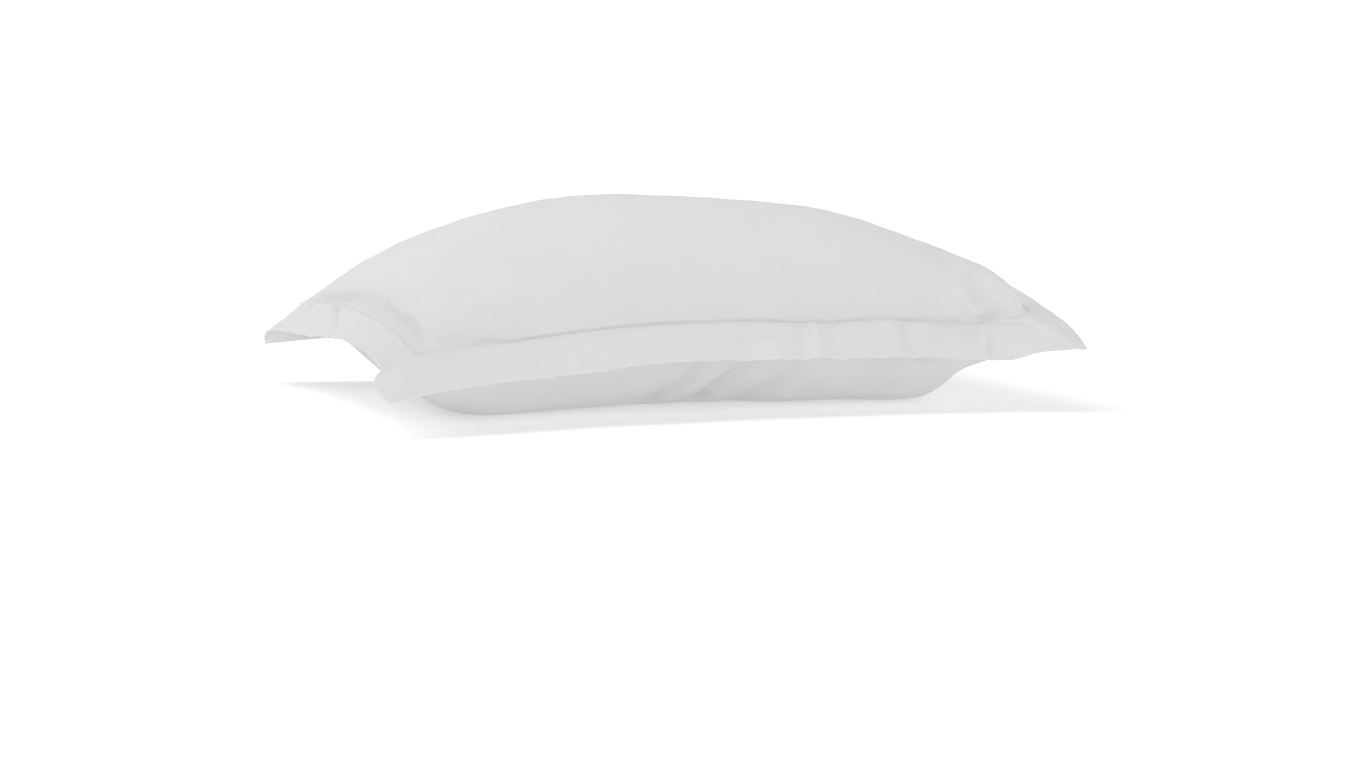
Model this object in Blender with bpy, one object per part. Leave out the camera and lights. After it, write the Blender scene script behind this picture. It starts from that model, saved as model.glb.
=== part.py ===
"""A flanged pillowcase with its pillow inside, lying flat on its back panel.

Two nodes: the filled pocket, one solid with its crown, its drawn-in sides and its flat spot
on the surface, and the border, the flat margin of the two panels outside the stitching line.
Metres, +Z up. The origin is on the surface, under the middle of the pocket. The length runs
along X, and the front, the long side that is seen best, faces -Y.
"""

import math
from collections import namedtuple

import bmesh
import bpy
from mathutils import Vector

# The cloth. Laid flat, the pocket is 0.70 x 0.50 inside its stitching; filling draws it in.
BORDER_WIDTH = 0.050  # stitching to free edge, measured along the cloth
BORDER_THICKNESS = 0.0024  # two layers and the turned-in edge
SEWN_GAP = 0.0003  # between the pocket and the border, which meet at the stitching
BOW_POWER = 2.2  # 2 is a parabola, and more keeps the bow away from the corners
BEND_POWER = 1.5  # 1 hangs the border straight, and more bends it on the way to its edge

# The grid that both solids are made on
CELLS_ALONG = 56
CELLS_DEEP = 36
CELLS_ACROSS_BORDER = 5
EDGE_CROWDING = 0.7  # 0 spaces the grid evenly, 1 crowds it into the round edges
WELD = 0.00001  # the panels share their corners along the stitching

# A corner: where its stitching lies, and how far the border's tip hangs below that
Corner = namedtuple("Corner", "x y height drop")
FRONT_LEFT = Corner(-0.338, -0.244, 0.082, 0.046)
FRONT_RIGHT = Corner(0.347, -0.244, 0.100, 0.034)
BACK_RIGHT = Corner(0.346, 0.244, 0.100, 0.032)
BACK_LEFT = Corner(-0.350, 0.250, 0.093, 0.050)

# A place along a side, from its first corner to its second: the height of the stitching
# there, how far the border's free edge hangs below it, and how much of the border's width
# is taken up in a tuck
Station = namedtuple("Station", "share height drop tuck")
FRONT_BOW = 0.046  # how far the middle of a side is drawn in
FRONT = (
    Station(0.05, 0.0850, 0.042, 0.0),
    Station(0.14, 0.0862, 0.036, 0.0),
    Station(0.28, 0.0945, 0.040, 0.0),
    Station(0.40, 0.0982, 0.036, 0.0),
    Station(0.55, 0.0985, 0.037, 0.0),
    Station(0.66, 0.0945, 0.034, 0.0),
    Station(0.76, 0.0970, 0.037, 0.0),
    Station(0.89, 0.0905, 0.035, 0.0),
    Station(0.94, 0.0935, 0.029, 0.0),
)
RIGHT_BOW = 0.016
RIGHT = (
    Station(0.06, 0.1035, 0.021, 0.0),
    Station(0.15, 0.1105, 0.012, 0.0),
    Station(0.35, 0.1170, 0.002, 0.0),
    Station(0.60, 0.1120, 0.012, 0.0),
    Station(0.88, 0.1035, 0.022, 0.0),
)
BACK_BOW = 0.046
BACK = (
    Station(0.12, 0.1020, 0.030, 0.0),
    Station(0.50, 0.1050, 0.034, 0.0),
    Station(0.90, 0.0960, 0.046, 0.0),
)
LEFT_BOW = 0.024
LEFT = (
    Station(0.08, 0.0955, 0.033, 0.0),
    Station(0.26, 0.0985, 0.032, 0.0),
    Station(0.47, 0.0945, 0.020, 0.0),
    Station(0.66, 0.0870, 0.010, 0.003),
    Station(0.85, 0.0780, 0.006, 0.009),
    Station(0.935, 0.0790, 0.013, 0.012),
    Station(0.957, 0.0795, 0.020, 0.002),
    Station(0.98, 0.0810, 0.034, 0.001),
)

# The pillow's section, at shares of the length: how high the top stands above the stitching
# and how square it is across, and the same for the fall of the underside before the surface
# flattens it
Rib = namedtuple("Rib", "share rise squareness fall under_squareness")
RIBS = (
    Rib(0.00, 0.109, 4.0, 0.112, 2.5),
    Rib(0.20, 0.114, 2.6, 0.112, 2.5),
    Rib(0.40, 0.1155, 2.2, 0.117, 2.6),
    Rib(0.55, 0.1095, 2.2, 0.120, 2.8),
    Rib(0.70, 0.102, 2.4, 0.123, 3.1),
    Rib(0.83, 0.087, 2.7, 0.127, 3.3),
    Rib(1.00, 0.062, 3.2, 0.132, 3.3),
)
SECTION_ROUNDING = 0.65

# The same round shape closes each end: how square it is, and how round its shoulders are
End = namedtuple("End", "squareness rounding")
TOP_ENDS = End(3.1, 0.58), End(9.0, 0.50)
UNDER_ENDS = End(7.0, 0.60), End(8.5, 0.72)
FLATTENING = 0.005  # how softly the cloth rolls onto the surface

# The filling is pushed well into the front right corner, which stands up plumply
PLUMP_RISE = 0.034
PLUMP_REACH = 0.090
PLUMP_EDGE = End(12.0, 0.50)

# Creases that the pull of the cloth leaves: from one point to another in plan, with the
# trough's half width and depth
Crease = namedtuple("Crease", "x1 y1 x2 y2 width depth")
TOP_CREASES = (Crease(0.262, -0.135, 0.307, -0.236, 0.018, 0.006),)
UNDER_CREASES = (
    Crease(-0.006, -0.192, -0.058, -0.110, 0.018, 0.004),
    Crease(0.050, -0.192, 0.000, -0.110, 0.018, 0.004),
    Crease(0.104, -0.190, 0.058, -0.110, 0.018, 0.003),
    Crease(0.288, -0.205, 0.306, -0.120, 0.018, 0.008),
)


def smooth(stops, share):
    """A smooth curve's value at a share, through stops of (share, value)."""
    last = len(stops) - 1
    k = next((i for i in range(last) if share <= stops[i + 1][0]), last - 1)

    def slope(i):
        before, after = stops[max(i - 1, 0)], stops[min(i + 1, last)]
        return (after[1] - before[1]) / (after[0] - before[0])

    (start, low), (end, high) = stops[k], stops[k + 1]
    span = end - start
    t = min(max((share - start) / span, 0.0), 1.0)
    return (
        low * (1 + 2 * t) * (1 - t) ** 2
        + high * (3 - 2 * t) * t**2
        + slope(k) * span * t * (1 - t) ** 2
        - slope(k + 1) * span * t**2 * (1 - t)
    )


def rounded(share, squareness, rounding):
    """1 in the middle of a side and 0 at its ends, with round shoulders."""
    return max(0.0, 1 - abs(2 * share - 1) ** squareness) ** rounding


class Side:
    """One side of the pocket, from one corner to the next, anticlockwise seen from above."""

    def __init__(self, first, last, stations, bow):
        self.first, self.last, self.bow = first, last, bow
        stations = (
            Station(0.0, first.height, first.drop, 0.0),
            *stations,
            Station(1.0, last.height, last.drop, 0.0),
        )
        self.heights = [(s.share, s.height) for s in stations]
        self.drops = [(s.share, s.drop) for s in stations]
        self.tucks = [(s.share, s.tuck) for s in stations]
        run = Vector((last.x - first.x, last.y - first.y, 0.0))
        self.run = run.normalized()
        self.outward = Vector((self.run.y, -self.run.x, 0.0))

    def stitching(self, share):
        """The point on the stitching line at a share of the side."""
        x = self.first.x + share * (self.last.x - self.first.x)
        y = self.first.y + share * (self.last.y - self.first.y)
        inward = self.outward * -self.bow * rounded(share, BOW_POWER, 1.0)
        return Vector((x, y, smooth(self.heights, share))) + inward

    def border_reach(self, share):
        """The way from the stitching to the free edge, with the cloth's own length."""
        drop = smooth(self.drops, share)
        width = BORDER_WIDTH - smooth(self.tucks, share)
        spread = (2 * share - 1) * BORDER_WIDTH
        at_first, at_last = corner_reach(self.first), corner_reach(self.last)
        along = share * at_last - (1 - share) * at_first
        outward = math.sqrt(width**2 + spread**2 - along**2 - drop**2)
        return self.run * along + self.outward * outward - Vector((0.0, 0.0, drop))


def corner_reach(corner):
    """How far a border tip reaches past its stitched corner, along X and along Y alike."""
    return math.sqrt((2 * BORDER_WIDTH**2 - corner.drop**2) / 2)


SIDES = (
    Side(FRONT_LEFT, FRONT_RIGHT, FRONT, FRONT_BOW),
    Side(FRONT_RIGHT, BACK_RIGHT, RIGHT, RIGHT_BOW),
    Side(BACK_RIGHT, BACK_LEFT, BACK, BACK_BOW),
    Side(BACK_LEFT, FRONT_LEFT, LEFT, LEFT_BOW),
)


def crowded(index, cells):
    """A grid line's share of the side, crowded towards the ends where the cloth is round."""
    even = index / cells
    round_ended = (1 - math.cos(math.pi * even)) / 2
    return even + EDGE_CROWDING * (round_ended - even)


def stitched_surface(s, t):
    """The surface that the stitching line would span, at shares s along and t deep."""
    front, right, back, left = SIDES
    corners = (
        (1 - s) * (1 - t) * front.stitching(0.0)
        + s * (1 - t) * front.stitching(1.0)
        + s * t * back.stitching(0.0)
        + (1 - s) * t * back.stitching(1.0)
    )
    lengthwise = (1 - t) * front.stitching(s) + t * back.stitching(1 - s)
    sideways = (1 - s) * left.stitching(1 - t) + s * right.stitching(t)
    return lengthwise + sideways - corners


def section(s, t, ends, height, squareness):
    """How far a panel stands off the stitching at (s, t), from the ribs' named columns."""
    end = ends[0] if s < 0.5 else ends[1]
    reach = smooth([(rib.share, getattr(rib, height)) for rib in RIBS], s)
    across = smooth([(rib.share, getattr(rib, squareness)) for rib in RIBS], s)
    return reach * rounded(s, *end) * rounded(t, across, SECTION_ROUNDING)


def creased(point, creases):
    """How deep the creases are at a point, seen in plan."""
    deepest = 0.0
    for crease in creases:
        start = Vector((crease.x1, crease.y1))
        line = Vector((crease.x2, crease.y2)) - start
        offset = Vector(point[:2]) - start
        nearest = line * min(max(offset.dot(line) / line.length_squared, 0.0), 1.0)
        away = (offset - nearest).length / crease.width
        deepest = max(deepest, crease.depth * math.exp(-(away**2)))
    return deepest


def top_point(s, t):
    """A point on the pocket's upper panel."""
    point = stitched_surface(s, t)
    point.z += section(s, t, TOP_ENDS, "rise", "squareness")
    away = math.hypot(point.x - FRONT_RIGHT.x, point.y - FRONT_RIGHT.y) / PLUMP_REACH
    edge = rounded(s, *PLUMP_EDGE) * rounded(t, *PLUMP_EDGE)
    point.z += PLUMP_RISE * edge * math.exp(-(away**2))
    point.z -= creased(point, TOP_CREASES) * edge
    return point


def bottom_point(s, t):
    """A point on the pocket's lower panel, which the surface flattens where it touches."""
    point = stitched_surface(s, t)
    point.z -= section(s, t, UNDER_ENDS, "fall", "under_squareness")
    edge = rounded(s, *PLUMP_EDGE) * rounded(t, *PLUMP_EDGE)
    point.z += creased(point, UNDER_CREASES) * edge
    if point.z < FLATTENING:
        point.z = max(0.0, point.z + FLATTENING) ** 2 / (4 * FLATTENING)
    return point


def add_panel(bm, place, upward):
    """A grid of cells, each corner moved to its place; a panel that faces down is flipped."""
    made = bmesh.ops.create_grid(bm, x_segments=CELLS_ALONG, y_segments=CELLS_DEEP, size=0.5)
    corners = {}
    for vert in made["verts"]:
        i = round((vert.co.x + 0.5) * CELLS_ALONG)
        j = round((vert.co.y + 0.5) * CELLS_DEEP)
        vert.co = place(crowded(i, CELLS_ALONG), crowded(j, CELLS_DEEP))
        corners[i, j] = vert
    if not upward:
        faces = {face for vert in made["verts"] for face in vert.link_faces}
        bmesh.ops.reverse_faces(bm, faces=list(faces))
    # A corner cell is cut from the pocket's corner inwards, so that the panels part there
    for i, i_in in ((0, 1), (CELLS_ALONG, CELLS_ALONG - 1)):
        for j, j_in in ((0, 1), (CELLS_DEEP, CELLS_DEEP - 1)):
            bmesh.ops.connect_verts(bm, verts=[corners[i, j], corners[i_in, j_in]])


def finish(name, bm, colour, roughness):
    """Makes the mesh an object with its own material."""
    mesh = bpy.data.meshes.new(name)
    bm.to_mesh(mesh)
    bm.free()
    mesh.shade_smooth()
    obj = bpy.data.objects.new(name, mesh)
    bpy.context.scene.collection.objects.link(obj)
    material = bpy.data.materials.new(name)
    material.use_nodes = True
    shader = material.node_tree.nodes["Principled BSDF"]
    shader.inputs["Base Color"].default_value = (*colour, 1.0)
    shader.inputs["Roughness"].default_value = roughness
    shader.inputs["Metallic"].default_value = 0.0
    mesh.materials.append(material)
    return obj


def make_pocket():
    """The filled pocket: the upper and lower panels, joined at the stitching line."""
    bm = bmesh.new()
    add_panel(bm, top_point, upward=True)
    add_panel(bm, bottom_point, upward=False)
    bmesh.ops.remove_doubles(bm, verts=bm.verts, dist=WELD)
    return finish("pocket", bm, (0.80, 0.80, 0.80), 0.85)


def border_stations():
    """The places round the border: (side, share), from the front left corner on."""
    places = []
    for side, cells in zip(SIDES, (CELLS_ALONG, CELLS_DEEP) * 2):
        places += [(side, crowded(i, cells)) for i in range(cells)]
    return places


def border_middle(side, share, across):
    """A point half-way through the border's thickness, at a share of its width."""
    reach = side.border_reach(share)
    held = SEWN_GAP / BORDER_WIDTH
    out = held + (1 - held) * across
    point = side.stitching(share) + reach * out
    # The cloth leaves the stitching level and bends down on the way to its edge
    point.z -= reach.z * (out - out**BEND_POWER)
    return point


def next_loop(bm, loop):
    """The closed loop of corners extruded once more, in the same order."""
    edges = [bm.edges.get((loop[k - 1], loop[k])) for k in range(len(loop))]
    made = set(bmesh.ops.extrude_edge_only(bm, edges=edges)["geom"])
    return [
        next(edge.other_vert(vert) for edge in vert.link_edges if edge.other_vert(vert) in made)
        for vert in loop
    ]


def make_border():
    """The border: a thin section carried all round the stitching line, in one piece."""
    places = border_stations()
    shares = [k / CELLS_ACROSS_BORDER for k in range(CELLS_ACROSS_BORDER + 1)]
    middle = [[border_middle(*place, across) for across in shares] for place in places]

    def thickness(k, m):
        """Half the thickness as a vector, square to the cloth but upright at the stitching."""
        if m == 0:
            return Vector((0.0, 0.0, BORDER_THICKNESS / 2))
        along = middle[(k + 1) % len(places)][m] - middle[k - 1][m]
        across = middle[k][min(m + 1, CELLS_ACROSS_BORDER)] - middle[k][m - 1]
        return across.cross(along).normalized() * (BORDER_THICKNESS / 2)

    section = [(m, 1) for m in range(CELLS_ACROSS_BORDER + 1)]
    section += [(m, -1) for m in reversed(range(CELLS_ACROSS_BORDER + 1))]

    bm = bmesh.new()
    loop = bmesh.ops.create_circle(bm, segments=len(places), radius=1.0)["verts"]
    for corner, (m, face) in enumerate(section):
        if corner:
            loop = next_loop(bm, loop)
        for k, vert in enumerate(loop):
            vert.co = middle[k][m] + face * thickness(k, m)
    bmesh.ops.bridge_loops(bm, edges=[edge for edge in bm.edges if edge.is_boundary])
    bmesh.ops.recalc_face_normals(bm, faces=bm.faces)
    return finish("border", bm, (0.82, 0.82, 0.82), 0.85)


def main():
    for obj in list(bpy.data.objects):
        bpy.data.objects.remove(obj)
    make_pocket()
    make_border()


main()
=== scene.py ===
"""A plain white cotton pillowcase with a flat border all round, filled by its pillow.

The upper and lower panels, the border and its stitching are made here at the scale of the
cloth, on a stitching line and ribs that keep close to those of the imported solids. Metres, +Z
up, the front (the long side that is seen best) faces -Y.
"""

import math
from collections import namedtuple

import bmesh
import bpy
import numpy as np
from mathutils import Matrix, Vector, noise


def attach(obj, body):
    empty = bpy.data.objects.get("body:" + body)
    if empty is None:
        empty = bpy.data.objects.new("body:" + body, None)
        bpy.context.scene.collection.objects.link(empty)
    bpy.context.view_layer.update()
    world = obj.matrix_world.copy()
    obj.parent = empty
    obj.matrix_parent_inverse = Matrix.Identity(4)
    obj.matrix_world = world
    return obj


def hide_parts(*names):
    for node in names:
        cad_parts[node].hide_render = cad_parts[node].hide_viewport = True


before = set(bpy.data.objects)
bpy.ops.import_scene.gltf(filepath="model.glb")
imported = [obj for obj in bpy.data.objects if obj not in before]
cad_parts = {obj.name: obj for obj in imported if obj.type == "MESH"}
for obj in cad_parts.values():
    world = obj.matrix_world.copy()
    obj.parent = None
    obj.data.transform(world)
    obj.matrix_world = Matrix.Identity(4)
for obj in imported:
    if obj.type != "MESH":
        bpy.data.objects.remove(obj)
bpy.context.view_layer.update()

# ---- the overall shape, close to the solids'

BORDER_WIDTH = 0.050  # stitching to free edge, measured along the cloth
BOW_POWER = 2.2  # 2 is a parabola, and more keeps the bow away from the corners
EDGE_CROWDING = 0.7  # 0 spaces the grid evenly, 1 crowds it into the round edges

# A corner: where its stitching lies, and how far the border's tip hangs below that
Corner = namedtuple("Corner", "x y height drop")
FRONT_LEFT = Corner(-0.338, -0.244, 0.082, 0.046)
FRONT_RIGHT = Corner(0.347, -0.244, 0.1005, 0.034)
BACK_RIGHT = Corner(0.346, 0.244, 0.100, 0.032)
BACK_LEFT = Corner(-0.350, 0.250, 0.094, 0.050)

# A place along a side: the height of the stitching, how far the border's free edge hangs
# below it, and how much of the border's width is taken up in a tuck
Station = namedtuple("Station", "share height drop tuck", defaults=(0.0,))
FRONT_BOW = 0.046
FRONT = (
    Station(0.05, 0.0850, 0.042),
    Station(0.14, 0.0862, 0.036),
    Station(0.28, 0.0945, 0.040),
    Station(0.40, 0.0982, 0.036),
    Station(0.55, 0.0985, 0.037),
    Station(0.66, 0.0945, 0.034),
    Station(0.76, 0.0970, 0.037),
    Station(0.89, 0.0905, 0.035),
    Station(0.94, 0.0935, 0.029),
)
RIGHT_BOW = 0.016
RIGHT = (
    Station(0.06, 0.1090, 0.025),
    Station(0.15, 0.1178, 0.017),
    Station(0.35, 0.1250, 0.004),
    Station(0.60, 0.1118, 0.012),
    Station(0.88, 0.1035, 0.022),
)
BACK_BOW = 0.046
BACK = (
    Station(0.12, 0.1020, 0.030),
    Station(0.50, 0.1050, 0.034),
    Station(0.90, 0.0972, 0.046),
)
LEFT_BOW = 0.024
LEFT = (
    Station(0.08, 0.0960, 0.032),
    Station(0.26, 0.0980, 0.031),
    Station(0.47, 0.0945, 0.020),
    Station(0.66, 0.0870, 0.010, 0.003),
    Station(0.85, 0.0780, 0.006, 0.009),
    Station(0.935, 0.0790, 0.013, 0.012),
    Station(0.957, 0.0795, 0.020, 0.002),
    Station(0.98, 0.0810, 0.034, 0.001),
)

# How high the top stands above the stitching at a share of the length and how square it is
# across, and the same for the fall of the underside before it is flattened
Rib = namedtuple("Rib", "share rise squareness fall under_squareness")
RIBS = (
    Rib(0.00, 0.1085, 4.0, 0.112, 2.5),
    Rib(0.20, 0.1160, 2.6, 0.112, 2.5),
    Rib(0.40, 0.1157, 2.2, 0.117, 2.6),
    Rib(0.55, 0.1086, 2.2, 0.120, 2.8),
    Rib(0.70, 0.1011, 2.4, 0.123, 3.1),
    Rib(0.83, 0.0842, 2.7, 0.127, 3.3),
    Rib(1.00, 0.0585, 3.2, 0.132, 3.3),
)
SECTION_ROUNDING = 0.65
End = namedtuple("End", "squareness rounding")  # the left end, then the right one
TOP_ENDS = End(3.1, 0.58), End(6.4, 0.50)
UNDER_ENDS = End(7.0, 0.60), End(10.5, 0.72)
FLATTENING = 0.005  # how softly the cloth rolls onto the surface
PLUMP_RISE = 0.030  # the filling is pushed well into the front right corner
PLUMP_REACH = 0.090
PLUMP_EDGE = End(12.0, 0.50)

# From one point to another in plan, with the trough's half width and depth
Crease = namedtuple("Crease", "x1 y1 x2 y2 width depth")
TOP_CREASES = (Crease(0.266, -0.135, 0.316, -0.236, 0.018, 0.004),)
UNDER_CREASES = (
    Crease(-0.006, -0.192, -0.058, -0.110, 0.018, 0.004),
    Crease(0.050, -0.192, 0.000, -0.110, 0.018, 0.004),
    Crease(0.104, -0.190, 0.058, -0.110, 0.018, 0.003),
    Crease(0.288, -0.205, 0.306, -0.120, 0.018, 0.008),
)


def smooth(stops, share):
    """A smooth curve's value at each share, through stops of (share, value)."""
    at, value = np.array(stops, float).T
    index = np.arange(len(at))
    before, after = np.maximum(index - 1, 0), np.minimum(index + 1, len(at) - 1)
    slope = (value[after] - value[before]) / (at[after] - at[before])
    k = np.clip(np.searchsorted(at, share) - 1, 0, len(at) - 2)
    span = at[k + 1] - at[k]
    t = np.clip((share - at[k]) / span, 0, 1)
    return (
        value[k] * (1 + 2 * t) * (1 - t) ** 2
        + value[k + 1] * (3 - 2 * t) * t**2
        + slope[k] * span * t * (1 - t) ** 2
        - slope[k + 1] * span * t**2 * (1 - t)
    )


def rounded(share, squareness, rounding):
    """1 in the middle of a side and 0 at its ends, with round shoulders."""
    return np.maximum(0.0, 1 - np.abs(2 * share - 1) ** squareness) ** rounding


def hill(distance, width):
    """1 at no distance, and close to 0 from twice the width on."""
    return np.exp(-((distance / width) ** 2))


def ramp(value, start, end):
    """0 up to start, 1 from end on, and smooth between them."""
    t = np.clip((value - start) / (end - start), 0, 1)
    return t * t * (3 - 2 * t)


class Side:
    """One side of the pocket, from one corner to the next, anticlockwise seen from above."""

    def __init__(self, first, last, stations, bow):
        self.first, self.last, self.bow = first, last, bow
        stations = (
            Station(0.0, first.height, first.drop),
            *stations,
            Station(1.0, last.height, last.drop),
        )
        self.heights = [(s.share, s.height) for s in stations]
        self.drops = [(s.share, s.drop) for s in stations]
        self.tucks = [(s.share, s.tuck) for s in stations]
        run = np.array([last.x - first.x, last.y - first.y, 0.0])
        self.length = np.linalg.norm(run)
        self.run = run / self.length
        self.outward = np.array([self.run[1], -self.run[0], 0.0])

    def stitching(self, share):
        """The points on the stitching line at shares of the side."""
        share = np.asarray(share, float)[..., None]
        start = np.array([self.first.x, self.first.y, 0.0])
        inward = self.outward * -self.bow * rounded(share, BOW_POWER, 1.0)
        points = start + share * self.length * self.run + inward
        points[..., 2:] += smooth(self.heights, share)
        return points

    def border_reach(self, share):
        """The way from the stitching to the free edge, with the cloth's own length."""
        share = np.asarray(share, float)[..., None]
        drop = smooth(self.drops, share)
        width = BORDER_WIDTH - smooth(self.tucks, share)
        spread = (2 * share - 1) * BORDER_WIDTH
        along = share * corner_reach(self.last) - (1 - share) * corner_reach(self.first)
        outward = np.sqrt(width**2 + spread**2 - along**2 - drop**2)
        return self.run * along + self.outward * outward - np.array([0.0, 0.0, 1.0]) * drop


def corner_reach(corner):
    """How far a border tip reaches past its stitched corner, along X and along Y alike."""
    return math.sqrt((2 * BORDER_WIDTH**2 - corner.drop**2) / 2)


SIDES = {
    "front": Side(FRONT_LEFT, FRONT_RIGHT, FRONT, FRONT_BOW),
    "right": Side(FRONT_RIGHT, BACK_RIGHT, RIGHT, RIGHT_BOW),
    "back": Side(BACK_RIGHT, BACK_LEFT, BACK, BACK_BOW),
    "left": Side(BACK_LEFT, FRONT_LEFT, LEFT, LEFT_BOW),
}


def crowded(cells, crowding=EDGE_CROWDING):
    """The grid lines' shares of a side, crowded towards the ends where the cloth is round."""
    even = np.linspace(0, 1, cells + 1)
    return even + crowding * ((1 - np.cos(np.pi * even)) / 2 - even)


def stitched_surface(s, t):
    """The surface that the stitching line would span, at shares s along and t deep."""
    front, right, back, left = SIDES.values()
    along, deep = s[..., None], t[..., None]
    corners = (
        (1 - along) * (1 - deep) * front.stitching(0.0)
        + along * (1 - deep) * front.stitching(1.0)
        + along * deep * back.stitching(0.0)
        + (1 - along) * deep * back.stitching(1.0)
    )
    lengthwise = (1 - deep) * front.stitching(s) + deep * back.stitching(1 - s)
    sideways = (1 - along) * left.stitching(1 - t) + along * right.stitching(t)
    return lengthwise + sideways - corners


def section(s, t, ends, height, squareness):
    """How far a panel stands off the stitching, from the ribs' named columns."""
    reach = smooth([(rib.share, getattr(rib, height)) for rib in RIBS], s)[:, None]
    across = smooth([(rib.share, getattr(rib, squareness)) for rib in RIBS], s)[:, None]
    end = np.where(s < 0.5, rounded(s, *ends[0]), rounded(s, *ends[1]))[:, None]
    return reach * end * rounded(t[None], across, SECTION_ROUNDING)


def creased(points, creases):
    """How deep the creases are at points, seen in plan."""
    deepest = np.zeros(points.shape[:-1])
    for crease in creases:
        start = np.array([crease.x1, crease.y1])
        line = np.array([crease.x2, crease.y2]) - start
        offset = points[..., :2] - start
        nearest = np.clip(offset @ line / (line @ line), 0, 1)[..., None] * line
        away = np.linalg.norm(offset - nearest, axis=-1)
        deepest = np.maximum(deepest, crease.depth * hill(away, crease.width))
    return deepest


def edge_mask(s, t):
    """1 over the panel, and 0 at its stitching."""
    return rounded(s, *PLUMP_EDGE)[:, None] * rounded(t, *PLUMP_EDGE)[None]


def upper_panel(s, t):
    """The filled upper panel's overall form, for columns s and rows t."""
    points = stitched_surface(s[:, None], t[None])
    points[..., 2] += section(s, t, TOP_ENDS, "rise", "squareness")
    away = np.hypot(points[..., 0] - FRONT_RIGHT.x, points[..., 1] - FRONT_RIGHT.y)
    points[..., 2] += PLUMP_RISE * edge_mask(s, t) * hill(away, PLUMP_REACH)
    points[..., 2] -= creased(points, TOP_CREASES) * edge_mask(s, t)
    return points


def lower_panel(s, t):
    """The lower panel's overall form, flattened where it rests."""
    points = stitched_surface(s[:, None], t[None])
    points[..., 2] -= section(s, t, UNDER_ENDS, "fall", "under_squareness")
    points[..., 2] += creased(points, UNDER_CREASES) * edge_mask(s, t)
    low = points[..., 2] < FLATTENING
    rolled = np.maximum(0.0, points[..., 2] + FLATTENING) ** 2 / (4 * FLATTENING)
    points[..., 2] = np.where(low, rolled, points[..., 2])
    return points


# ---- the cloth of the panels

PANEL_LENGTH = 0.70  # the pocket laid flat, inside its stitching
PANEL_DEPTH = 0.50
CELLS_ALONG = 256
CELLS_DEEP = 176
PROFILE_SAMPLES = 4001
WELD = 0.00001
# The stitching holds the cloth down, and this far in from it the cloth has turned up: off the
# left side, the right, the front and the back
FILLETS = 0.031, 0.018, 0.008, 0.022
LEFT_FILLET_BACK = 0.52  # the left side's is this much of its reach in its back half
LEFT_FILLET_SPAN = 0.50, 0.85  # which it reaches between these shares of its length
FRONT_FILLET_ENDS = 3.0  # and the front's this many times its reach by its two corners
FRONT_FILLET_SPAN = 0.04, 0.13  # this near them, in metres
FRONT_FILLET_UNDER = 0.024  # the lower panel draws back behind the front border
FILLET_SLOPE = 0.70
FILLET_UNEVENNESS = 0.30
FILLET_WAVE = 0.06
FILLET_SEED = 90.0
NEARNESS_POWER = 4.0  # rounds the line where two sides are equally near
SEAM_CLEARANCE = 0.0001  # the panels start this far over the border's faces
SEAM_CLEARANCE_REACH = 0.0014
CLOTH_THICKNESS = 0.0011  # two layers of cotton, hemmed together

# A fold is a line of soft trough (rise below 0) or ridge along a path, with its half width,
# the height of the roll of cloth to the left of it, and how sharp its line is (2 is soft)
Fold = namedtuple("Fold", "path width rise roll line", defaults=(0.0, 2.0))
FOLD_FADE = 0.3  # the share of its length over which a fold comes and goes
ROLL_OFF = 2.2
ROLL_WIDTH = 1.5
UPPER_FOLDS = (  # in plan
    Fold(((0.285, -0.195), (0.299, -0.212), (0.312, -0.226), (0.321, -0.240)), 0.0120, -0.0048),
    Fold(((0.266, -0.202), (0.283, -0.222), (0.300, -0.242)), 0.0060, 0.0036),
    Fold(((0.300, -0.192), (0.322, -0.212)), 0.0060, 0.0010),
    Fold(((-0.264, -0.190), (-0.262, -0.236)), 0.0110, -0.0024),
    Fold(((-0.312, -0.190), (-0.306, -0.226)), 0.0080, -0.0014),
    Fold(((-0.334, -0.222), (-0.311, -0.190), (-0.289, -0.158), (-0.262, -0.130)), 0.009, 0.0022),
    Fold(((0.088, -0.160), (0.110, -0.206)), 0.0110, -0.0018),
    Fold(((0.160, -0.206), (0.200, -0.208)), 0.0040, -0.0010),
    Fold(((0.234, -0.190), (0.258, -0.226)), 0.0090, -0.0016),
)
LOWER_FOLDS = (
    Fold(
        ((0.002, -0.196), (-0.020, -0.164), (-0.040, -0.128), (-0.056, -0.086)),
        0.0052, -0.0034, 0.0034, 1.5,
    ),
    Fold(
        ((0.056, -0.198), (0.030, -0.166), (0.012, -0.138), (0.002, -0.090)),
        0.0048, -0.0046, 0.0044, 1.4,
    ),
    Fold(
        ((0.104, -0.196), (0.080, -0.160), (0.062, -0.130), (0.048, -0.096)),
        0.0050, -0.0032, 0.0030, 1.5,
    ),
    Fold(((0.158, -0.196), (0.128, -0.160), (0.104, -0.124)), 0.0060, -0.0018, 0.0022, 1.8),
    Fold(((-0.040, -0.190), (-0.066, -0.158), (-0.090, -0.120)), 0.0060, -0.0014, 0.0018, 1.8),
    Fold(((-0.150, -0.196), (-0.172, -0.162), (-0.190, -0.126)), 0.0070, -0.0016, 0.0018),
    Fold(((0.214, -0.190), (0.190, -0.140)), 0.0070, -0.0012, 0.0014),
    Fold(((0.296, -0.222), (0.316, -0.206), (0.322, -0.170)), 0.0130, 0.0052),
    Fold(((-0.262, -0.206), (-0.284, -0.168)), 0.0080, -0.0014, 0.0010),
)

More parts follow.
